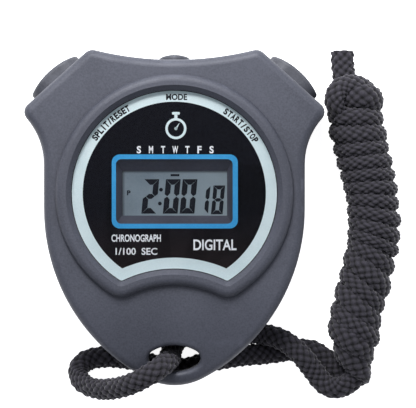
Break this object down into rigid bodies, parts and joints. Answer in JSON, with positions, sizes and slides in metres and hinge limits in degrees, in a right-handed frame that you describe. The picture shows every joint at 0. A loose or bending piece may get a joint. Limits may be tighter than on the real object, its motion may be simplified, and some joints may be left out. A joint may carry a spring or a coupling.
{
  "type": "digital stopwatch",
  "caption": "Shield-shaped hand-held digital stopwatch with a round dial window, sprung push buttons and a braided neck lanyard through its tail.",
  "frame": {"origin": "centre of the case's bounding box, on the plane that its back rests on; the lanyard is not counted", "axes": "+Y from the lanyard eye towards the mode button, +Z out of the dial, +X to the right when the dial is read"},
  "size_m": [0.0846, 0.0784, 0.0201],
  "materials": {
    "case_shell": "matte metallic grey paint on moulded plastic",
    "lens_clear": "clear moulded acrylic",
    "dial_print": "screen-printed black, blue and pale ring",
    "tape": "double-sided foam tape",
    "display_grey": "moulded grey plastic",
    "display_glass": "liquid crystal glass",
    "display_film": "polariser and reflector film",
    "rubber_strip": "carbon and silicone layered strip",
    "board": "green solder mask",
    "epoxy": "black potting blob",
    "crystal_can": "bright can",
    "chips": "ceramic chips",
    "cell_steel": "nickel-plated steel",
    "contact_metal": "phosphor bronze",
    "foam": "black foam",
    "buzzer_brass": "brass",
    "buzzer_white": "piezo ceramic",
    "spring_steel": "spring wire",
    "button_grey": "matte metallic grey paint on moulded plastic",
    "screw_steel": "dark zinc",
    "lanyard_cord": "braided polyester"
  },
  "bodies": {
    "case": {"front_case": "case_shell", "rear_case": "case_shell", "lens": "lens_clear", "dial_plate": "dial_print", "lens_tape": "tape", "display_frame": "display_grey", "display_polariser": "display_film", "display_cell": "display_glass", "display_reflector": "display_film", "zebra_connector_upper": "rubber_strip", "zebra_connector_lower": "rubber_strip", "circuit_board": "board", "chip_blob": "epoxy", "quartz_crystal": "crystal_can", "surface_components": "chips", "battery": "cell_steel", "battery_minus_contact": "contact_metal", "battery_plus_clip": "contact_metal", "battery_foam": "foam", "buzzer_disc": "buzzer_brass", "buzzer_ceramic": "buzzer_white", "buzzer_spring": "spring_steel", "case_screws": "screw_steel", "board_screws": "screw_steel", "start_stop_spring": "spring_steel", "start_stop_contact": "contact_metal", "split_reset_spring": "spring_steel", "split_reset_contact": "contact_metal", "mode_spring": "spring_steel", "mode_contact": "contact_metal", "lanyard_hank": "lanyard_cord", "lanyard_loop": "lanyard_cord", "lanyard_end": "lanyard_cord"},
    "start_stop": {"start_stop_button": "button_grey", "start_stop_clip": "spring_steel"},
    "split_reset": {"split_reset_button": "button_grey", "split_reset_clip": "spring_steel"},
    "mode": {"mode_button": "button_grey", "mode_clip": "spring_steel"}
  },
  "joints": [
    {"name": "start_stop_press", "type": "slide", "parent": "case", "child": "start_stop", "axis": [-0.6691, -0.7431, 0], "range_m": [0, 0.0012], "stiffness_N_per_m": 900, "springref_m": -0.0006, "deforming": ["start_stop_spring"]},
    {"name": "split_reset_press", "type": "slide", "parent": "case", "child": "split_reset", "axis": [0.6691, -0.7431, 0], "range_m": [0, 0.0012], "stiffness_N_per_m": 900, "springref_m": -0.0006, "deforming": ["split_reset_spring"]},
    {"name": "mode_press", "type": "slide", "parent": "case", "child": "mode", "axis": [0, -1, 0], "range_m": [0, 0.0009], "stiffness_N_per_m": 900, "springref_m": -0.0006, "deforming": ["mode_spring"]}
  ]
}
